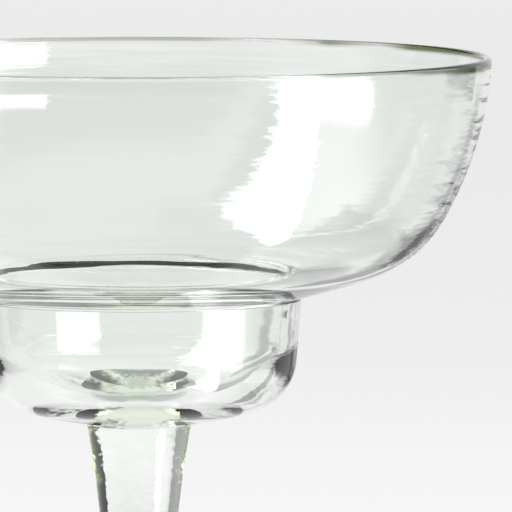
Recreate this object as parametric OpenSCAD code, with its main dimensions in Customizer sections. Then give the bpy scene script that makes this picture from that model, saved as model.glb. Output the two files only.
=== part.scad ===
// Margarita glass: a wide coupe that steps in to a smaller well, on a solid
// drawn stem and a round foot. It is worked hot from three gathers of clear
// glass, the bowl, the stem and the foot, welded end to end on flat faces.
// Millimetres, +Z up, with the origin on the table under the middle of the foot.

/* [Whole glass] */
// Height from the table to the top of the rim
glass_h = 168; // [155:1:185]

/* [Rim] */
// Diameter across the outside of the rim
rim_d = 120.8; // [112:0.2:128]
// Thickness of the fire-polished rim and of the wall under it
rim_t = 1.6; // [1.3:0.1:2]

/* [Coupe] */
// Depth of the coupe, from the top of the rim to the step at the well
coupe_h = 41.2; // [37:0.1:48]
// Lean of the wall just under the rim, from upright
wall_lean = 3.5; // [0:0.5:7]
// Lean of the wall where it runs into the knee
knee_lean = 30; // [25:1:35]
// Outside radius of the knee, between the wall and the floor
knee_r = 22; // [18:0.5:25]
// Slope of the underside, from level
under_slope = 15.7; // [12:0.1:19]
// Inside radius of the knee
inner_knee_r = 21; // [17:0.5:24]
// Distance inside the rim at which the coupe's floor and underside would meet
floor_meet = 14; // [12:0.5:16]
// Thickness of the shelf of glass round the mouth of the well
shelf_t = 2.8; // [2.2:0.1:3.6]

/* [Well] */
// Outside diameter of the well at the step
well_d = 55.7; // [50:0.1:60]
// Depth of the well outside, from the step to the weld
well_h = 21.6; // [19:0.1:25]
// Lean of the well's wall, from upright
well_lean = 4.4; // [2:0.2:7]
// Thickness of the well's wall
well_t = 2.8; // [2:0.1:3.4]
// Radius of the rounded mouth of the well
mouth_r = 1.5; // [1:0.1:2.2]
// Outside radius of the heel, where the wall turns under
heel_r = 9.6; // [7:0.1:11]
// Lean at which the heel runs into the flatter underside
heel_lean = 72; // [64:1:76]
// Lean of the underside where it meets the weld
weld_lean = 84.4; // [82:0.1:87]
// Inside radius between the well's wall and its floor
inner_heel_r = 9.4; // [7:0.1:11]
// Slope of the well's dished floor at that radius, from level
dish_slope = 4; // [2:0.5:8]
// Thickness of the glass under the middle of the well
base_t = 4.6; // [3.6:0.1:5.6]

/* [Stem] */
// Diameter of the stem at its weld to the bowl
stem_top_d = 17.9; // [15:0.1:20]
// Diameter of the stem at its waist
waist_d = 9.8; // [8:0.1:12]
// Diameter of the stem at its weld to the foot
stem_base_d = 12.2; // [11:0.1:15]
// Height of the waist over the table
waist_h = 46; // [40:1:54]
// Lean of the stem's side at the bowl, from upright
stem_top_lean = 10; // [8:0.5:13]
// Lean of the stem's side at the foot, from upright
stem_base_lean = 8; // [6:0.5:12]

/* [Foot] */
// Diameter of the foot
foot_d = 78; // [70:1:86]
// Thickness of the foot's rounded edge
foot_edge_t = 3; // [2.4:0.1:3.6]
// Height of the weld between the foot and the stem
foot_weld_h = 14; // [13:0.5:17]
// Radius of the sweep from the stem out to the foot
sweep_r = 9; // [7:0.5:10]
// Lean of the foot's top where that sweep ends
sweep_lean = 68; // [64:1:72]
// Slope of the foot's top towards its edge, from level
foot_slope = 5; // [4:0.5:7]
// Width of the flat ring that the glass rests on
rest_w = 5; // [3:0.5:8]
// Height of the hollow under the middle of the foot
hollow_h = 1.4; // [0.6:0.1:2.4]

/* [Hidden] */
$fn = 180;
glass_tint = [0.82, 0.89, 0.84, 0.5];
// Turn between two points along an arc of an outline, in degrees
arc_step = 4;
// Rings along each part of the stem
stem_rings = 30;
level = 90;
rim_r = rim_t / 2;
step_z = glass_h - coupe_h;
weld_z = step_z - well_h;
crown = [rim_d / 2 - rim_r, glass_h];

// An outline is a list of legs. A heading is the angle from straight down,
// positive towards the axis. A leg is [first heading, last heading, size]: an
// arc of that radius, or a straight line of that length if both are the same.
function unit_leg(from, to) =
    from == to ? [-sin(from), -cos(from)]
    : sign(to - from) * [cos(to) - cos(from), sin(from) - sin(to)];
function leg_steps(leg) = max(1, ceil(abs(leg[1] - leg[0]) / arc_step));
function leg_points(start, leg) = [
    for (i = [1:leg_steps(leg)])
        let (
            share = i / leg_steps(leg),
            size = leg[2] * (leg[0] == leg[1] ? share : 1),
            to = leg[0] + (leg[1] - leg[0]) * share
        )
        start + size * unit_leg(leg[0], to)
];
function leg_end(start, leg) = start + leg[2] * unit_leg(leg[0], leg[1]);
function walk(start, legs, i = 0) =
    i == len(legs) ? []
    : concat(leg_points(start, legs[i]), walk(leg_end(start, legs[i]), legs, i + 1));
function walk_end(start, legs, i = 0) =
    i == len(legs) ? start : walk_end(leg_end(start, legs[i]), legs, i + 1);

// Sizes of two legs, a and b, that together reach across a gap [across, down]
function cross2(u, v) = u[0] * v[1] - u[1] * v[0];
function two_sizes(gap, a, b) = [cross2(gap, b) / cross2(a, b), cross2(a, gap) / cross2(a, b)];

// Outside of the coupe, from the crown of the rim down to the step
under_lean = level - under_slope;
rim_legs = [
    [-level, 0, rim_r],
    [0, wall_lean, rim_r]
];
knee_leg = [knee_lean, under_lean, knee_r];
step_point = [well_d / 2, step_z];
coupe_free = two_sizes(
    step_point - walk_end(walk_end(crown, rim_legs), [knee_leg]),
    unit_leg(wall_lean, knee_lean),
    unit_leg(under_lean, under_lean)
);
coupe_legs = concat(rim_legs, [
    [wall_lean, knee_lean, coupe_free[0]],
    knee_leg,
    [under_lean, under_lean, coupe_free[1]]
]);

// Outside of the well, from the step down to the weld
weld_edge = [stem_top_d / 2, weld_z];
heel_leg = [well_lean, heel_lean, heel_r];
well_free = two_sizes(
    weld_edge - walk_end(step_point, [heel_leg]),
    unit_leg(well_lean, well_lean),
    unit_leg(heel_lean, weld_lean)
);
well_legs = [
    [well_lean, well_lean, well_free[0]],
    heel_leg,
    [heel_lean, weld_lean, well_free[1]]
];

// Inside of the coupe, from the crown down to the rounded mouth of the well
well_in_r = well_d / 2 - well_t / cos(well_lean);
mouth_corner = [well_in_r + shelf_t * tan(well_lean), step_z + shelf_t];
meet_r = rim_d / 2 - floor_meet;
meet_point = [meet_r, step_z + (meet_r - well_d / 2) * tan(under_slope)];
floor_run = meet_point - mouth_corner;
floor_lean = level - atan2(floor_run[1], floor_run[0]);
mouth_reach = mouth_r * tan((floor_lean - well_lean) / 2);
mouth_point = mouth_corner - mouth_reach * unit_leg(floor_lean, floor_lean);
inner_knee_leg = [knee_lean, floor_lean, inner_knee_r];
inner_rim_leg = [level, wall_lean, rim_r];
inner_free = two_sizes(
    mouth_point - walk_end(crown, [inner_rim_leg, inner_knee_leg]),
    unit_leg(wall_lean, knee_lean),
    unit_leg(floor_lean, floor_lean)
);
inner_coupe_legs = [
    inner_rim_leg,
    [wall_lean, knee_lean, inner_free[0]],
    inner_knee_leg,
    [floor_lean, floor_lean, inner_free[1]],
    [floor_lean, well_lean, mouth_r]
];

// Inside of the well: its wall runs down to the inner heel, then the floor is
// a shallow dish that is level on the axis
dish_lean = level - dish_slope;
mouth_end = walk_end(crown, inner_coupe_legs);
inner_heel_leg = [well_lean, dish_lean, inner_heel_r];
dish_r = two_sizes(
    [0, weld_z + base_t] - walk_end(mouth_end, [inner_heel_leg]),
    unit_leg(well_lean, well_lean),
    unit_leg(dish_lean, level)
);
inner_well_legs = [
    [well_lean, well_lean, dish_r[0]],
    inner_heel_leg,
    [dish_lean, level, dish_r[1]]
];
inner_side = concat(walk(crown, inner_coupe_legs), walk(mouth_end, inner_well_legs));

// Stem: two drawn tapers that meet level at the waist. The power of each taper
// gives its side the lean that is asked for at the weld.
function taper_power(lean, length, end_r) = tan(lean) * length / (end_r - waist_d / 2);
function taper_r(share, lean, length, end_r) =
    waist_d / 2 + (end_r - waist_d / 2) * pow(share, taper_power(lean, length, end_r));
top_len = weld_z - waist_h;
base_len = waist_h - foot_weld_h;
stem_side = concat(
    [for (i = [stem_rings:-1:1])
        let (share = i / stem_rings)
        [taper_r(share, stem_base_lean, base_len, stem_base_d / 2), waist_h - share * base_len]],
    [for (i = [0:stem_rings])
        let (share = i / stem_rings)
        [taper_r(share, stem_top_lean, top_len, stem_top_d / 2), waist_h + share * top_len]]
);

// Foot: a sweep from the weld, a gentle slope, a rounded edge and a flat ring
// that the glass rests on, with a shallow hollow inside the ring
edge_r = foot_edge_t / 2;
edge_lean = foot_slope - level;
foot_weld_edge = [stem_base_d / 2, foot_weld_h];
edge_start = [foot_d / 2, edge_r] - edge_r * unit_leg(edge_lean, 0);
sweep_leg = [-stem_base_lean, -sweep_lean, sweep_r];
foot_free = two_sizes(
    edge_start - walk_end(foot_weld_edge, [sweep_leg]),
    unit_leg(-sweep_lean, edge_lean),
    unit_leg(edge_lean, edge_lean)
);
foot_legs = [
    sweep_leg,
    [-sweep_lean, edge_lean, foot_free[0]],
    [edge_lean, edge_lean, foot_free[1]],
    [edge_lean, 0, edge_r],
    [0, level, edge_r]
];
hollow_r = foot_d / 2 - edge_r - rest_w;
hollow_dome_r = (hollow_r * hollow_r + hollow_h * hollow_h) / (2 * hollow_h);
hollow_lean = level + asin(hollow_r / hollow_dome_r);
hollow_legs = [[hollow_lean, level, hollow_dome_r]];

module bowl() {
    color(glass_tint)
        rotate_extrude()
            polygon(concat(
                [[0, weld_z + base_t]],
                [for (i = [len(inner_side) - 2:-1:0]) inner_side[i]],
                [crown],
                walk(crown, coupe_legs),
                walk(step_point, well_legs),
                [[0, weld_z]]
            ));
}

module stem() {
    color(glass_tint)
        rotate_extrude()
            polygon(concat([[0, foot_weld_h]], stem_side, [[0, weld_z]]));
}

module foot() {
    color(glass_tint)
        rotate_extrude()
            polygon(concat(
                [[0, foot_weld_h], foot_weld_edge],
                walk(foot_weld_edge, foot_legs),
                [[hollow_r, 0]],
                walk([hollow_r, 0], hollow_legs)
            ));
}

bowl();
stem();
foot();
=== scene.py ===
import bpy
import numpy as np
from math import atan2, ceil, cos, pi, radians, sin, tan
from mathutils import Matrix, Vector


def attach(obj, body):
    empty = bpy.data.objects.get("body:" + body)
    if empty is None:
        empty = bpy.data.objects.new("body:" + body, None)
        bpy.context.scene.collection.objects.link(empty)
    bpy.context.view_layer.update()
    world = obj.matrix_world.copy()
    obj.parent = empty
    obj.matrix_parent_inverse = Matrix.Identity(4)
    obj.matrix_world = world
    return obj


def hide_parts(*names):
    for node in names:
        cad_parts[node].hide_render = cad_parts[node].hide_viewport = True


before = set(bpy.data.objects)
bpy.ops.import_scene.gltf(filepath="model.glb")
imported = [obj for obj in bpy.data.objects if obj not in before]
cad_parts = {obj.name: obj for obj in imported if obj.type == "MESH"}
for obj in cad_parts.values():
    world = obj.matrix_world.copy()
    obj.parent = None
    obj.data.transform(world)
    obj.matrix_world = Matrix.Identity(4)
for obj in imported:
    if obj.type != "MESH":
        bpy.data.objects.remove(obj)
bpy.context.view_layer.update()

scene = bpy.context.scene

# ---------------------------------------------------------------------------
# Bowl: one blown piece of clear soda-lime glass. A wide coupe with a thin
# fire-polished rim steps in to a straight well with a thick dished base. Its
# underside is hot-welded to the stem on a flat face. Sizes are millimetres.
# ---------------------------------------------------------------------------
MM = 0.001
GLASS_H, RIM_D, RIM_R = 168.0, 120.8, 0.8
CROWN = (RIM_D / 2 - RIM_R, GLASS_H)
STEP_POINT = np.array([27.85, 126.8])
WELD_R, WELD_Z = 8.95, 105.2

# Leans of the outside, in degrees from straight down, positive towards the axis
WALL_LEAN, KNEE_LEAN, UNDER_LEAN = 3.5, 30, 74.3
WELL_LEAN, HEEL_LEAN, WELD_LEAN = 4.4, 72, 84.4
KNEE_R, HEEL_R, STEP_ROUND = 22, 9.6, 0.7
# The inside has its own leans, which set the thickness of the glass
FLOOR_LEAN, DISH_LEAN = 83.486, 86
INNER_KNEE_R, MOUTH_R, INNER_HEEL_R = 21, 1.5, 9.4
SHELF_T, WELL_T, BASE_T = 2.8, 2.8, 4.6
ARC_STEP = 4


def way(start, end):
    """Where a leg of size 1 goes, as (across, up), between two headings."""
    a, b = radians(start), radians(end)
    if start == end:
        return np.array([-sin(a), -cos(a)])
    side = 1 if end > start else -1
    return side * np.array([cos(b) - cos(a), sin(a) - sin(b)])


def walk(start, legs, fine):
    """Points along legs of (first heading, last heading, size). A leg is an arc of that radius, or a straight line
    of that length if both headings are the same. Points lie no further apart than fine, or ARC_STEP degrees."""
    points, here = [], np.array(start, float)
    for first, last, size in legs:
        turn = radians(abs(last - first))
        parts = max(1, ceil(size * (turn or 1) / fine), ceil(turn / radians(ARC_STEP)))
        for i in range(1, parts + 1):
            share = i / parts
            if first == last:
                points.append(here + size * share * way(first, first))
            else:
                points.append(here + size * way(first, first + (last - first) * share))
        here = here + size * way(first, last)
    return points


def walk_end(start, legs):
    here = np.array(start, float)
    for first, last, size in legs:
        here = here + size * way(first, last)
    return here


def two_sizes(gap, a, b):
    """Sizes of two legs that together reach across a gap."""
    return np.linalg.solve(np.array([a, b]).T, np.array(gap))


def fade(value, start, end):
    """0 at start, 1 at end, and held there beyond them."""
    return min(1, max(0, (value - start) / (end - start)))


def turned(name, outline, segments, waves, welds):
    """A closed shell turned round the axis from an outline that starts and ends on it. waves(around, along, radius,
    height) gives how far the hot glass wandered outwards. welds names the ends that are flat weld faces."""
    outline = np.array(outline)
    steps = np.hypot(*np.diff(outline, axis=0).T)
    along = np.concatenate([[0], np.cumsum(steps)])
    slope = np.gradient(outline, along, axis=0)
    out = np.stack([slope[:, 1], -slope[:, 0]], 1)
    out /= np.hypot(out[:, 0], out[:, 1])[:, None]
    angle = np.arange(segments) * 2 * pi / segments
    rings = range(1, len(outline) - 1)
    points, marks = [(0, 0, outline[0][1])], [along[0]]
    for i in rings:
        shift = waves(angle, along[i], outline[i][0], outline[i][1])
        r = outline[i][0] + out[i][0] * shift
        z = outline[i][1] + out[i][1] * shift
        points.extend(np.stack([r * np.cos(angle), r * np.sin(angle), z + 0 * angle], 1).tolist())
        marks.extend([along[i]] * segments)
    points.append((0, 0, outline[-1][1]))
    marks.append(along[-1])

    first_ring, last_ring, tip = 1, 1 + (len(rings) - 1) * segments, len(points) - 1
    after = [(j + 1) % segments for j in range(segments)]
    faces = [(0, first_ring + j, first_ring + after[j]) for j in range(segments)]
    for a in range(first_ring, last_ring, segments):
        b = a + segments
        faces += [(a + j, b + j, b + after[j], a + after[j]) for j in range(segments)]
    faces += [(last_ring + after[j], last_ring + j, tip) for j in range(segments)]
    flat = np.zeros(len(faces), bool)
    if "first" in welds:
        flat[:segments] = True
    if "last" in welds:
        flat[-segments:] = True

    mesh = bpy.data.meshes.new(name)
    mesh.from_pydata((np.array(points) * MM).tolist(), [], faces)
    mesh.attributes.new("along_mm", "FLOAT", "POINT").data.foreach_set("value", np.array(marks, np.float32))
    mesh.attributes.new("welded", "FLOAT", "FACE").data.foreach_set("value", flat.astype(np.float32))
    mesh.polygons.foreach_set("use_smooth", ~flat)
    mesh.update()
    piece = bpy.data.objects.new(name, mesh)
    scene.collection.objects.link(piece)
    return piece


# Outside: rim, wall, knee and underside of the coupe, the rounded step, then wall, heel and underside of the well
rim_legs = [(-90, 0, RIM_R), (0, WALL_LEAN, RIM_R)]
knee_leg = (KNEE_LEAN, UNDER_LEAN, KNEE_R)
gap = STEP_POINT - walk_end(walk_end(CROWN, rim_legs), [knee_leg])
wall_bend_r, under_length = two_sizes(gap, way(WALL_LEAN, KNEE_LEAN), way(UNDER_LEAN, UNDER_LEAN))
step_reach = STEP_ROUND * tan(radians((UNDER_LEAN - WELL_LEAN) / 2))
outer_coupe = rim_legs + [
    (WALL_LEAN, KNEE_LEAN, wall_bend_r),
    knee_leg,
    (UNDER_LEAN, UNDER_LEAN, under_length - step_reach),
    (UNDER_LEAN, WELL_LEAN, STEP_ROUND)]
heel_leg = (WELL_LEAN, HEEL_LEAN, HEEL_R)
gap = np.array([WELD_R, WELD_Z]) - walk_end(STEP_POINT, [heel_leg])
well_length, bottom_r = two_sizes(gap, way(WELL_LEAN, WELL_LEAN), way(HEEL_LEAN, WELD_LEAN))
outer_well = [(WELL_LEAN, WELL_LEAN, well_length - step_reach), heel_leg, (HEEL_LEAN, WELD_LEAN, bottom_r)]

# Inside: rim, wall, knee and floor of the coupe, the rounded mouth of the well, then its wall, heel and dished floor
well_in_r = STEP_POINT[0] - WELL_T / cos(radians(WELL_LEAN))
mouth_corner = np.array([well_in_r + SHELF_T * tan(radians(WELL_LEAN)), STEP_POINT[1] + SHELF_T])
mouth_reach = MOUTH_R * tan(radians((FLOOR_LEAN - WELL_LEAN) / 2))
mouth_point = mouth_corner - mouth_reach * way(FLOOR_LEAN, FLOOR_LEAN)
inner_rim, inner_knee = (90, WALL_LEAN, RIM_R), (KNEE_LEAN, FLOOR_LEAN, INNER_KNEE_R)
gap = mouth_point - walk_end(CROWN, [inner_rim, inner_knee])
inner_bend_r, floor_length = two_sizes(gap, way(WALL_LEAN, KNEE_LEAN), way(FLOOR_LEAN, FLOOR_LEAN))
inner_legs = [
    inner_rim,
    (WALL_LEAN, KNEE_LEAN, inner_bend_r),
    inner_knee,
    (FLOOR_LEAN, FLOOR_LEAN, floor_length),
    (FLOOR_LEAN, WELL_LEAN, MOUTH_R)]
inner_heel = (WELL_LEAN, DISH_LEAN, INNER_HEEL_R)
gap = np.array([0, WELD_Z + BASE_T]) - walk_end(walk_end(CROWN, inner_legs), [inner_heel])
inner_well_length, dish_r = two_sizes(gap, way(WELL_LEAN, WELL_LEAN), way(DISH_LEAN, 90))
inner_legs += [(WELL_LEAN, WELL_LEAN, inner_well_length), inner_heel, (DISH_LEAN, 90, dish_r)]

inside = walk(CROWN, inner_legs, 0.55)
inside[-1][0] = 0
outside = walk(CROWN, outer_coupe + outer_well, 0.6)
up_to_crown = inside[::-1] + [np.array(CROWN)]
crown_at = sum(np.hypot(*np.diff(np.array(up_to_crown), axis=0).T))


def blown_waves(around, along, radius, height):
    """Slow wander from blowing, and the faint rings that the shaping tools leave while the glass turns."""
    slow = 0.02 * np.sin(2 * around + 0.6 + 0.05 * height) + 0.012 * np.sin(3 * around + 2.1 - 0.08 * height)
    rings = np.sin(2.3 * along + 1.2 * np.sin(around * 2 + 0.4)) * np.sin(0.21 * along + 1.7 * np.sin(around + 1))
    well = np.sin(0.9 * height + 1.6 * np.sin(2 * around + 1)) * np.sin(3 * around + 0.15 * height)
    wander = slow * fade(height, 167, 159)
    wander = wander + 0.004 * rings * min(fade(height, 133, 141), fade(height, 167, 166))
    wander = wander + 0.012 * well * fade(height, 127, 124)
    return wander * fade(radius, 0, 12)


bowl = turned("bowl_visual", up_to_crown + outside + [np.array([0, WELD_Z])], 224, blown_waves, ["last"])


def linear(code):
    """An sRGB hex colour as linear light."""
    parts = [int(code[i:i + 2], 16) / 255 for i in (0, 2, 4)]
    return [p / 12.92 if p <= 0.04045 else ((p + 0.055) / 1.055) ** 2.4 for p in parts] + [1]


def add_node(tree, kind, settings={}, links={}):
    """Adds a node with its settings and its inputs, each a value or another node's output."""
    node = tree.nodes.new(kind)
    for key, value in settings.items():
        setattr(node, key, value)
    for key, value in links.items():
        if isinstance(value, bpy.types.NodeSocket):
            tree.links.new(value, node.inputs[key])
        else:
            node.inputs[key].default_value = value
    return node


# Soda-lime glass: clear, with the faint green of iron in the sand, which shows
# where light passes many faces or a long way of glass. It is fire-polished, so
# it is glossy all over, and its faint rings pull reflections into streaks.
GLASS_IOR = 1.52
# The second colour is a dark green painted on the rim as painted shade; the other two are the glass's own.
CLEAR, EDGE_SHADE_GREEN, DEEP_GREEN = "fcfffc", "4b5d27", "f1f6e2"
DEEP_DENSITY = 2.5
# Blender's noise mostly stays within a sixth of its middle
NOISE_REACH = 6


def soda_lime(name, ring_mm, arc_mm, at_radius_mm, lean_deg):
    """Glass whose surface leans by about lean_deg in rings ring_mm apart and arc_mm long at that radius. Real rings
    are finer than a millimetre: these are as coarse as they must be to show. The attribute worked scales them, and
    along_mm runs down the outline. Light goes straight through the faces that welded marks."""
    glass = bpy.data.materials.new(name)
    glass.use_nodes = True
    tree = glass.node_tree
    tree.nodes.clear()
    place = add_node(tree, "ShaderNodeTexCoord")
    flat = add_node(tree, "ShaderNodeVectorMath", {"operation": "MULTIPLY"}, {
        0: place.outputs["Object"], 1: (1, 1, 0)})
    around = add_node(tree, "ShaderNodeVectorMath", {"operation": "NORMALIZE"}, {0: flat.outputs[0]})
    wide = add_node(tree, "ShaderNodeVectorMath", {"operation": "SCALE"}, {
        0: around.outputs[0], "Scale": at_radius_mm / arc_mm})
    along = add_node(tree, "ShaderNodeAttribute", {"attribute_name": "along_mm"})
    down = add_node(tree, "ShaderNodeMath", {"operation": "MULTIPLY"}, {0: along.outputs["Fac"], 1: 1 / ring_mm})
    lift = add_node(tree, "ShaderNodeCombineXYZ", {}, {"Z": down.outputs[0]})
    spot = add_node(tree, "ShaderNodeVectorMath", {"operation": "ADD"}, {0: wide.outputs[0], 1: lift.outputs[0]})
    rings = add_node(tree, "ShaderNodeTexNoise", {}, {
        "Vector": spot.outputs[0], "Scale": 1, "Detail": 1, "Roughness": 0.5})

    worked = add_node(tree, "ShaderNodeAttribute", {"attribute_name": "worked"})
    amount = add_node(tree, "ShaderNodeMath", {"operation": "MULTIPLY"}, {
        0: worked.outputs["Fac"], 1: NOISE_REACH * radians(lean_deg)})
    lean = add_node(tree, "ShaderNodeVectorMath", {"operation": "SUBTRACT"}, {
        0: rings.outputs["Color"], 1: (0.5, 0.5, 0.5)})
    lean = add_node(tree, "ShaderNodeVectorMath", {"operation": "SCALE"}, {
        0: lean.outputs[0], "Scale": amount.outputs[0]})
    lean = add_node(tree, "ShaderNodeSeparateXYZ", {}, {0: lean.outputs[0]})
    across = add_node(tree, "ShaderNodeVectorMath", {"operation": "CROSS_PRODUCT"}, {
        0: (0, 0, 1), 1: around.outputs[0]})
    across = add_node(tree, "ShaderNodeVectorMath", {"operation": "SCALE"}, {
        0: across.outputs[0], "Scale": lean.outputs["X"]})
    upward = add_node(tree, "ShaderNodeCombineXYZ", {}, {"Z": lean.outputs["Y"]})
    lean = add_node(tree, "ShaderNodeVectorMath", {"operation": "ADD"}, {0: across.outputs[0], 1: upward.outputs[0]})
    face = add_node(tree, "ShaderNodeNewGeometry")
    leaning = add_node(tree, "ShaderNodeVectorMath", {"operation": "ADD"}, {
        0: face.outputs["Normal"], 1: lean.outputs[0]})
    leaning = add_node(tree, "ShaderNodeVectorMath", {"operation": "NORMALIZE"}, {0: leaning.outputs[0]})

    welded = add_node(tree, "ShaderNodeAttribute", {"attribute_name": "welded"})
    bend = add_node(tree, "ShaderNodeMath", {"operation": "MULTIPLY_ADD"}, {
        0: welded.outputs["Fac"], 1: 1 - GLASS_IOR, 2: GLASS_IOR})
    surface = add_node(tree, "ShaderNodeBsdfPrincipled", {}, {
        "Base Color": linear(CLEAR), "Roughness": 0, "IOR": bend.outputs[0], "Transmission Weight": 1,
        "Normal": leaning.outputs[0]})
    within_glass = add_node(tree, "ShaderNodeVolumeAbsorption", {}, {
        "Color": linear(DEEP_GREEN), "Density": DEEP_DENSITY})
    add_node(tree, "ShaderNodeOutputMaterial", {}, {"Surface": surface.outputs[0], "Volume": within_glass.outputs[0]})
    return glass


# The rings are strongest high inside the wall and at its back, and all but polished out on the outside.
# The rim is painted a dark green shade where it is seen edge on, in place of the shade and green of light that has
# run a long way inside the wall: how strong that painted shade is at each angle round it, and how much further down
# the wall it reaches near the right of the front.
RIM_PAINTED_SHADE = ((-180, 0.5), (-90, 0.3), (-60, 0.35), (-30, 0.8), (-12, 1), (10, 1), (38, 1), (45, 0.6), (56, 0.9),
             (71, 0.45), (80, 0.7), (110, 0.65), (120, 0.2), (180, 0.5))
RIM_SHADE_REACH = ((-42, 0), (-30, 0.5), (-13, 1.1), (-6, 0))
along_mm = bowl.data.attributes["along_mm"].data
worked, rim_painted_shade = [], []
for v in bowl.data.vertices:
    height, around = v.co.z / MM, atan2(v.co.y, v.co.x)
    from_crown = along_mm[v.index].value - crown_at
    if from_crown < 0:
        back = max(0, sin(around))
        high = fade(height, 139, 143)
        turned_in = (0.5 + 0.5 * back) * high + (0.1 + 0.8 * back) * (1 - high)
        worked.append(max(0.05, fade(height, 131, 135)) * turned_in)
    else:
        worked.append(0.06 if height > 127 else 0.2)
    green = np.interp(around * 180 / pi, *zip(*RIM_PAINTED_SHADE))
    reach = 0.7 + 0.8 * green + np.interp(around * 180 / pi, *zip(*RIM_SHADE_REACH))
    rim_painted_shade.append(green * fade(abs(from_crown), reach, reach - 0.3))
bowl.data.attributes.new("worked", "FLOAT", "POINT").data.foreach_set("value", worked)
bowl.data.attributes.new("rim_painted_shade", "FLOAT", "POINT").data.foreach_set("value", rim_painted_shade)

blown_glass = soda_lime("blown_soda_lime_glass", ring_mm=0.8, arc_mm=14, at_radius_mm=57, lean_deg=1.2)
tree = blown_glass.node_tree
# Painted shade: the rim's base colour is mixed from clear towards the dark green by the attribute set above.
edge = add_node(tree, "ShaderNodeAttribute", {"attribute_name": "rim_painted_shade"})
tone = add_node(tree, "ShaderNodeMix", {"data_type": "RGBA"}, {
    0: edge.outputs["Fac"], 6: linear(CLEAR), 7: linear(EDGE_SHADE_GREEN)})
tree.links.new(tone.outputs[2], tree.nodes["Principled BSDF"].inputs["Base Color"])
bowl.data.materials.append(blown_glass)
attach(bowl, "root")
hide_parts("bowl")

# ---------------------------------------------------------------------------
# Stem: a solid rod of the same glass, pulled out of a gather while it is soft,
# so it is slimmest at the waist and swells towards both welds. Geometry Nodes
# shape a straight rod by that rule.
# ---------------------------------------------------------------------------
WAIST_R, WAIST_Z = 4.9, 46.0
FOOT_WELD_R, FOOT_WELD_Z = 6.1, 14.0
TOP_LEAN, BASE_LEAN = 10, 8
# Gap left at each weld, so that the two flat faces don't lie in one place
SEAM = 0.03
# Length of one drift of the side, up and down the stem
DRIFT_MM = 6.25


def taper_power(lean, length, end_r):
    """The power that gives the side of a taper that lean where it ends."""
    return tan(radians(lean)) * length / (end_r - WAIST_R)


drawn_glass = soda_lime("drawn_soda_lime_glass", ring_mm=0.8, arc_mm=0.8, at_radius_mm=5.7, lean_deg=1.4)
pull = bpy.data.node_groups.new("drawn_stem", "GeometryNodeTree")
sizes = {
    "Top height": (WELD_Z - SEAM) * MM, "Top radius": WELD_R * MM,
    "Top power": taper_power(TOP_LEAN, WELD_Z - WAIST_Z, WELD_R),
    "Waist height": WAIST_Z * MM, "Waist radius": WAIST_R * MM,
    "Foot height": FOOT_WELD_Z * MM, "Foot radius": FOOT_WELD_R * MM,
    "Foot power": taper_power(BASE_LEAN, WAIST_Z - FOOT_WELD_Z, FOOT_WELD_R),
    "Wander": 0.06 * MM}
counts = {"Segments": 128, "Rings": 210, "Seed": 11}
for key, value in (*sizes.items(), *counts.items()):
    kind = "NodeSocketInt" if key in counts else "NodeSocketFloat"
    pull.interface.new_socket(key, in_out="INPUT", socket_type=kind).default_value = value
pull.interface.new_socket("Glass", in_out="INPUT", socket_type="NodeSocketMaterial")
pull.interface.new_socket("Stem", in_out="OUTPUT", socket_type="NodeSocketGeometry")
given = add_node(pull, "NodeGroupInput").outputs

# A rod of radius 1 from -0.5 to 0.5. Its height is spread between the welds, and each end swells from the waist
rod = add_node(pull, "GeometryNodeMeshCylinder", {"fill_type": "TRIANGLE_FAN"}, {
    "Vertices": given["Segments"], "Side Segments": given["Rings"], "Fill Segments": 1, "Radius": 1, "Depth": 1})
spot = add_node(pull, "GeometryNodeInputPosition")
spot = add_node(pull, "ShaderNodeSeparateXYZ", {}, {0: spot.outputs[0]}).outputs
height = add_node(pull, "ShaderNodeMapRange", {}, {
    "Value": spot["Z"], "From Min": -0.5, "From Max": 0.5,
    "To Min": given["Foot height"], "To Max": given["Top height"]}).outputs[0]
radius = given["Waist radius"]
for end in ("Top", "Foot"):
    share = add_node(pull, "ShaderNodeMapRange", {}, {
        "Value": height, "From Min": given["Waist height"], "From Max": given[end + " height"]})
    share = add_node(pull, "ShaderNodeMath", {"operation": "POWER"}, {0: share.outputs[0], 1: given[end + " power"]})
    radius = add_node(pull, "ShaderNodeMapRange", {}, {
        "Value": share.outputs[0], "To Min": radius, "To Max": given[end + " radius"]}).outputs[0]

# The side drifts a little in and out, most at mid height and not at all at the welds
upward = add_node(pull, "ShaderNodeMath", {"operation": "MULTIPLY"}, {0: height, 1: 1 / (DRIFT_MM * MM)})
upward = add_node(pull, "ShaderNodeCombineXYZ", {}, {"X": spot["X"], "Y": spot["Y"], "Z": upward.outputs[0]})
seed = add_node(pull, "ShaderNodeMath", {"operation": "MULTIPLY"}, {0: given["Seed"], 1: 1.37})
drift = add_node(pull, "ShaderNodeTexNoise", {"noise_dimensions": "4D"}, {
    "Vector": upward.outputs[0], "W": seed.outputs[0], "Scale": 1, "Detail": 2, "Roughness": 0.5})
drift = add_node(pull, "ShaderNodeMapRange", {}, {"Value": drift.outputs["Fac"], "To Min": -1, "To Max": 1})
drift = add_node(pull, "ShaderNodeMath", {"operation": "MULTIPLY"}, {0: drift.outputs[0], 1: given["Wander"]})
middle = add_node(pull, "ShaderNodeMath", {"operation": "MULTIPLY"}, {0: spot["Z"], 1: spot["Z"]})
middle = add_node(pull, "ShaderNodeMath", {"operation": "MULTIPLY_ADD"}, {0: middle.outputs[0], 1: -4, 2: 1})
radius = add_node(pull, "ShaderNodeMath", {"operation": "MULTIPLY_ADD"}, {
    0: drift.outputs[0], 1: middle.outputs[0], 2: radius}).outputs[0]
side = {axis: add_node(pull, "ShaderNodeMath", {"operation": "MULTIPLY"}, {0: spot[axis], 1: radius}).outputs[0]
        for axis in "XY"}
place = add_node(pull, "ShaderNodeCombineXYZ", {}, {**side, "Z": height})

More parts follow.
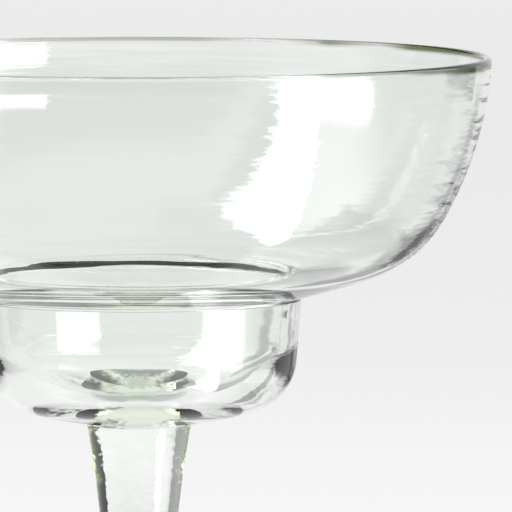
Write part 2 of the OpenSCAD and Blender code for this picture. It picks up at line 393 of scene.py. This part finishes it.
# The marks are taken while the rod is still straight, so they are stored before it is shaped
drawn = rod.outputs["Mesh"]
ends = add_node(pull, "FunctionNodeBooleanMath", {"operation": "OR"}, {0: rod.outputs["Top"], 1: rod.outputs["Bottom"]})
along = add_node(pull, "ShaderNodeMath", {"operation": "MULTIPLY"}, {0: height, 1: 1 / MM})
for key, domain, value in (("along_mm", "POINT", along.outputs[0]), ("worked", "POINT", 1),
                           ("welded", "FACE", ends.outputs[0])):
    drawn = add_node(pull, "GeometryNodeStoreNamedAttribute", {"data_type": "FLOAT", "domain": domain}, {
        "Geometry": drawn, "Name": key, "Value": value}).outputs[0]
drawn = add_node(pull, "GeometryNodeSetPosition", {}, {"Geometry": drawn, "Position": place.outputs[0]})
drawn = add_node(pull, "GeometryNodeSetShadeSmooth", {}, {
    "Geometry": drawn.outputs[0], "Shade Smooth": rod.outputs["Side"]})
drawn = add_node(pull, "GeometryNodeRealizeInstances", {}, {"Geometry": drawn.outputs[0]})
drawn = add_node(pull, "GeometryNodeSetMaterial", {}, {"Geometry": drawn.outputs[0], "Material": given["Glass"]})
add_node(pull, "NodeGroupOutput", {}, {"Stem": drawn.outputs[0]})

stem = bpy.data.objects.new("stem_visual", bpy.data.meshes.new("rod"))
scene.collection.objects.link(stem)
puller = stem.modifiers.new("drawn_stem", "NODES")
puller.node_group = pull
values = {**sizes, **counts, "Glass": drawn_glass}
for socket in pull.interface.items_tree:
    if socket.name in values:
        puller[socket.identifier] = values[socket.name]
bpy.context.view_layer.update()
finished = bpy.data.meshes.new_from_object(stem.evaluated_get(bpy.context.evaluated_depsgraph_get()))
stem.modifiers.remove(puller)
stem.data = finished
finished.name = "stem_visual"
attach(stem, "root")
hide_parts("stem")

# ---------------------------------------------------------------------------
# Foot: a gather of the same glass, hot-welded under the stem and flattened
# into a disc, with a shallow hollow under it so that it stands on a narrow ring.
# ---------------------------------------------------------------------------
FOOT_R, EDGE_R, FOOT_SLOPE = 39.0, 1.5, 5
SWEEP_R, SWEEP_LEAN = 9, 68
REST_W, REST_PARTS = 5, 8
HOLLOW_H, HOLLOW_PARTS = 1.4, 32
EDGE_LEAN = FOOT_SLOPE - 90

foot_start = np.array([FOOT_WELD_R, FOOT_WELD_Z - SEAM])
foot_edge = np.array([FOOT_R, EDGE_R]) - EDGE_R * way(EDGE_LEAN, 0)
sweep_leg = (-BASE_LEAN, -SWEEP_LEAN, SWEEP_R)
gap = foot_edge - walk_end(foot_start, [sweep_leg])
hub_r, slope_length = two_sizes(gap, way(-SWEEP_LEAN, EDGE_LEAN), way(EDGE_LEAN, EDGE_LEAN))
foot_legs = [
    sweep_leg,
    (-SWEEP_LEAN, EDGE_LEAN, hub_r),
    (EDGE_LEAN, EDGE_LEAN, slope_length),
    (EDGE_LEAN, 0, EDGE_R),
    (0, 90, EDGE_R)]
foot_outline = [np.array([0, foot_start[1]]), foot_start] + walk(foot_start, foot_legs, 0.7)
rest_r = FOOT_R - EDGE_R
hollow_r = rest_r - REST_W
for i in range(1, REST_PARTS + 1):
    foot_outline.append(np.array([rest_r - REST_W * i / REST_PARTS, 0]))
dome_r = (hollow_r ** 2 + HOLLOW_H ** 2) / (2 * HOLLOW_H)
for i in range(1, HOLLOW_PARTS + 1):
    r = hollow_r * (1 - i / HOLLOW_PARTS)
    foot_outline.append(np.array([r, HOLLOW_H - (dome_r - (dome_r ** 2 - r ** 2) ** 0.5)]))


def still(around, along, radius, height):
    return 0 * around


foot = turned("foot_visual", foot_outline, 192, still, ["first"])
foot.data.attributes.new("worked", "FLOAT", "POINT").data.foreach_set("value", [1.0] * len(foot.data.vertices))
pressed_glass = soda_lime("pressed_soda_lime_glass", ring_mm=3, arc_mm=11, at_radius_mm=28.5, lean_deg=0.4)
foot.data.materials.append(pressed_glass)
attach(foot, "root")
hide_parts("foot")

# ---------------------------------------------------------------------------
# Studio floor: pale matt paper that turns up into a cove all round, so that no
# view shows an edge. Its glow is painted light in place of the light on the paper,
# with a painted shadow right under the foot. From here on sizes are metres.
# ---------------------------------------------------------------------------
FLOOR_R, COVE_R, COVE_TOP = 5, 1.2, 2
SIDES = 96
cove = [(FLOOR_R, 0)]
cove += [(FLOOR_R + COVE_R * sin(a), COVE_R - COVE_R * cos(a)) for a in np.linspace(0, pi / 2, 13)[1:]]
cove += [(FLOOR_R + COVE_R, COVE_TOP)]
floor_points = [(r * cos(a), r * sin(a), z) for r, z in cove for a in np.linspace(0, 2 * pi, SIDES + 1)[:-1]]
floor_faces = [list(range(SIDES))]
for a in range(0, (len(cove) - 1) * SIDES, SIDES):
    b = a + SIDES
    floor_faces += [(a + j, b + j, b + (j + 1) % SIDES, a + (j + 1) % SIDES) for j in range(SIDES)]
floor_mesh = bpy.data.meshes.new("floor")
floor_mesh.from_pydata(floor_points, [], floor_faces)
floor_mesh.polygons.foreach_set("use_smooth", [True] * len(floor_faces))
floor = bpy.data.objects.new("floor", floor_mesh)
scene.collection.objects.link(floor)

# How much the paper glows at each distance from the glass: painted light, darkest as a painted shadow under and round
# the foot
PAPER_GLOW_AND_SHADOW = ((0, 0.5), (0.03, 0.5), (0.045, 0.66), (0.08, 0.745), (0.2, 0.77), (0.9, 0.803), (1.4, 0.754),
              (2.3, 0.755), (4, 0.784))
GLOW_END = PAPER_GLOW_AND_SHADOW[-1][0]
paper = bpy.data.materials.new("pale_studio_paper")
paper.use_nodes = True
tree = paper.node_tree
tree.nodes.clear()
place = add_node(tree, "ShaderNodeTexCoord")
away = add_node(tree, "ShaderNodeVectorMath", {"operation": "LENGTH"}, {0: place.outputs["Object"]})
away = add_node(tree, "ShaderNodeMath", {"operation": "DIVIDE"}, {0: away.outputs["Value"], 1: GLOW_END})
glow = add_node(tree, "ShaderNodeValToRGB", {}, {"Fac": away.outputs[0]})
ramp = glow.color_ramp
ramp.interpolation = "EASE"
for at, level in PAPER_GLOW_AND_SHADOW[1:-1]:
    ramp.elements.new(at / GLOW_END).color = (level, level, level, 1)
for stop, (at, level) in ((ramp.elements[0], PAPER_GLOW_AND_SHADOW[0]), (ramp.elements[-1], PAPER_GLOW_AND_SHADOW[-1])):
    stop.color = (level, level, level, 1)
surface = add_node(tree, "ShaderNodeBsdfPrincipled", {}, {
    "Base Color": linear("585858"), "Roughness": 1, "Specular IOR Level": 0,
    "Emission Color": linear("ffffff"), "Emission Strength": glow.outputs[0]})
add_node(tree, "ShaderNodeOutputMaterial", {}, {"Surface": surface.outputs[0]})
floor_mesh.materials.append(paper)

# ---------------------------------------------------------------------------
# Light tent: white cloth round the glass, seen only in and through the glass.
# Each spot of it has a level of light, for soft boxes, plain cloth and grey
# cards. Clear glass shows little else than what stands round it.
# ---------------------------------------------------------------------------
BOWL_MIDDLE = Vector((0, 0, 0.14))
TENT_R = 1.5
# Below the bowl the cloth lies just over the floor
FLOOR_DROP = 0.139


def direction(azimuth, elevation):
    """A unit vector. Azimuth 0 is towards the camera, positive to its right."""
    a, e = radians(azimuth), radians(elevation)
    return Vector((sin(a) * cos(e), -cos(a) * cos(e), sin(e)))


def soft(value, low, high, blur):
    """1 between low and high, and down to 0 outside over blur degrees."""
    low_side = 1 / (1 + np.exp(np.clip(-2 * (value - low) / blur, -40, 40)))
    return low_side / (1 + np.exp(np.clip(-2 * (high - value) / blur, -40, 40)))


def within(corners, x, y):
    """Which of the spots x, y lie inside a ring of corners."""
    found = np.zeros(x.shape, bool)
    for (x1, y1), (x2, y2) in zip(corners, corners[1:] + corners[:1]):
        if y1 != y2:
            found ^= ((y1 > y) != (y2 > y)) & (x < (x2 - x1) * (y - y1) / (y2 - y1) + x1)
    return found


azimuth = np.arange(-180, 180, 1.0)
elevation = np.concatenate([np.arange(-72, 90, 1.0), [89.9]])
turn, rise = np.meshgrid(azimuth, elevation, indexing="ij")

# Plain cloth: light at each elevation
CLOTH_LIGHT = ((-90, 0.78), (-60, 0.96), (-45, 0.88), (-25, 0.88), (-8, 0.815), (-3, 0.815), (0, 0.92), (4, 0.98),
               (8, 0.98), (25, 0.92), (45, 1.0), (65, 0.88), (90, 0.82))
level = np.interp(rise, *zip(*CLOTH_LIGHT))

# Soft-edged panels: light, azimuth from and to, elevation from and to, blur, and how far the azimuth moves for a
# degree of elevation
for light, left, right, low, high, blur, slant in (
        (0.02, -36, 56, 11, 40, 5, 0.7),
        (0.05, -160, -116, 8, 42, 3, 0),
        (1.1, 101, 134, -28.5, -13, 3.5, 0),
        (0.45, 165, 169.6, -24, -5.6, 0.5, 0),
        (0.4, 146, 153, -20, -6.2, 0.5, 0),
        (0.4, 154, 167, -12.5, -9.8, 0.6, 0),
        (0.02, -59, -42, 21, 63, 3, 0.07),
        (0.22, -47, 31, -10, -6.5, 1.6, 0),
        (2.1, 55, 91, -44, -13, 5, -0.2),
        (7, 50, 81, -15.5, -8, 1.2, 0),
        (0.17, -74, 64, -71, -52, 1.7, -0.5),
        (0.35, 104, 130, -48, -30, 2.5, 0.6),
        (0.4, -142, -111, -8.5, 13, 5.5, 0.1),
        (0.02, -108, -89, 5, 30, 5, -0.3),
        (1.55, -80, -48, 48, 67, 2.8, 0.4),
        (0.02, -177, -137, 29, 65, 10, 0),
        (0.37, 147, 162, 22, 50, 6, 0.1),
        (0.8, -58, -36, -48, -18, 5.6, 0),
        (0.35, 8, 32, -46, -38, 1.6, 0.2)):
    middle = (left + right) / 2
    turned_by = (turn - middle + 180) % 360 - 180 + middle - slant * (rise - (low + high) / 2)
    share = soft(turned_by, left, right, blur) * soft(rise, low, high, blur)
    level = level * (1 - share) + light * share

# Panels with a plain edge, as (light, corners): grey and black cards first, then the right and left soft boxes and
# two small windows of light
for light, corners in (
        (0.45, [(84, -33), (112, -31), (128, -28), (128, -60), (66, -60), (66, -46)]),
        (0.03, [(97, 13), (118, 13), (140, 6), (143, -7), (120, -7), (110, 3), (97, 3)]),
        (0.35, [(-142, -6), (-142, 10), (-128, 13), (-113, 12), (-90, 19), (-90, 11), (-108, 4), (-116, -6)]),
        (0.4, [(124, -31), (137, -27), (150, -24), (160, -19), (163, -24), (163, -38), (154, -38), (152, -32),
               (140, -33)]),
        (0.14, [(128, -27), (138, -25), (150, -17.5), (158, -12.5), (163, -14), (163, -20), (158, -24),
                (150, -25.5), (142, -26.5), (130, -29)]),
        (7, [(50, -8), (51, -20), (46, -27), (39, -35), (34, -40), (39, -43), (50, -45), (62, -50),
             (64, -47), (66, -43), (64, -34), (62, -27), (61, -21), (60, -14), (60, -8)]),
        (5.5, [(-50, 18), (-54, 30), (-55, 50), (-57, 66), (-90, 72), (-108, 66), (-96, 55), (-80, 44), (-70, 34),
               (-66, 18)]),
        (6, [(-59, -14.4), (-29, -14.4), (-28, -11), (-59, -11)]),
        (6, [(33, 5), (33, 12), (54, 12), (54, 5)])):
    level = np.where(within(corners, turn, rise), light, level)

spots = []
for a in azimuth:
    for e in elevation:
        way_out = direction(a, e)
        reach = min(TENT_R, FLOOR_DROP / -way_out.z) if way_out.z < 0 else TENT_R
        spots.append(BOWL_MIDDLE + way_out * reach)
rows = len(elevation)
faces = []
for i in range(len(azimuth)):
    a, b = i * rows, (i + 1) % len(azimuth) * rows
    faces += [(a + j, b + j, b + j + 1, a + j + 1) for j in range(rows - 1)]
tent_mesh = bpy.data.meshes.new("light_tent")
tent_mesh.from_pydata(spots, [], faces)
tent_mesh.attributes.new("level", "FLOAT", "POINT").data.foreach_set("value", level.ravel().astype(np.float32))
cloth = bpy.data.materials.new("lit_tent_cloth")
cloth.use_nodes = True
cloth.cycles.emission_sampling = "NONE"
tree = cloth.node_tree
tree.nodes.clear()
lit = add_node(tree, "ShaderNodeAttribute", {"attribute_name": "level"})
glow = add_node(tree, "ShaderNodeEmission", {}, {"Strength": lit.outputs["Fac"]})
add_node(tree, "ShaderNodeOutputMaterial", {}, {"Surface": glow.outputs[0]})
tent_mesh.materials.append(cloth)
tent = bpy.data.objects.new("light_tent", tent_mesh)
scene.collection.objects.link(tent)
tent.visible_camera = tent.visible_shadow = tent.visible_diffuse = False

# ---------------------------------------------------------------------------
# Room light, a soft lamp overhead for the floor alone, and the camera, which
# stands 1.8 m back and looks 4.4 degrees down at the right part of the bowl.
# ---------------------------------------------------------------------------
world = bpy.data.worlds.new("studio_room")
world.use_nodes = True
room = world.node_tree.nodes["Background"].inputs
room["Color"].default_value = linear("ffffff")
room["Strength"].default_value = 0.5
scene.world = world

overhead = bpy.data.lights.new("overhead_fill", "AREA")
overhead.size, overhead.energy = 2.0, 40
fill = bpy.data.objects.new("overhead_fill", overhead)
fill.location = (0, 0, 1.8)
scene.collection.objects.link(fill)
fill.visible_glossy = fill.visible_transmission = fill.visible_camera = False

lens = bpy.data.cameras.new("camera")
lens.lens, lens.sensor_width = 742, 36
lens.clip_end = 20
camera = bpy.data.objects.new("camera", lens)
scene.collection.objects.link(camera)
AIM = Vector((0.02005, 0, 0.1338))
camera.location = (AIM.x, -1.8, 0.273)
camera.rotation_euler = (AIM - camera.location).to_track_quat("-Z", "Y").to_euler()
scene.camera = camera
scene.view_settings.view_transform = "Standard"
# Light may pass many faces of glass, but the longest chains of reflections inside it end here, which gives the dark
# bands at the step and in the base
scene.cycles.max_bounces = scene.cycles.transmission_bounces = 48
scene.cycles.glossy_bounces = 7
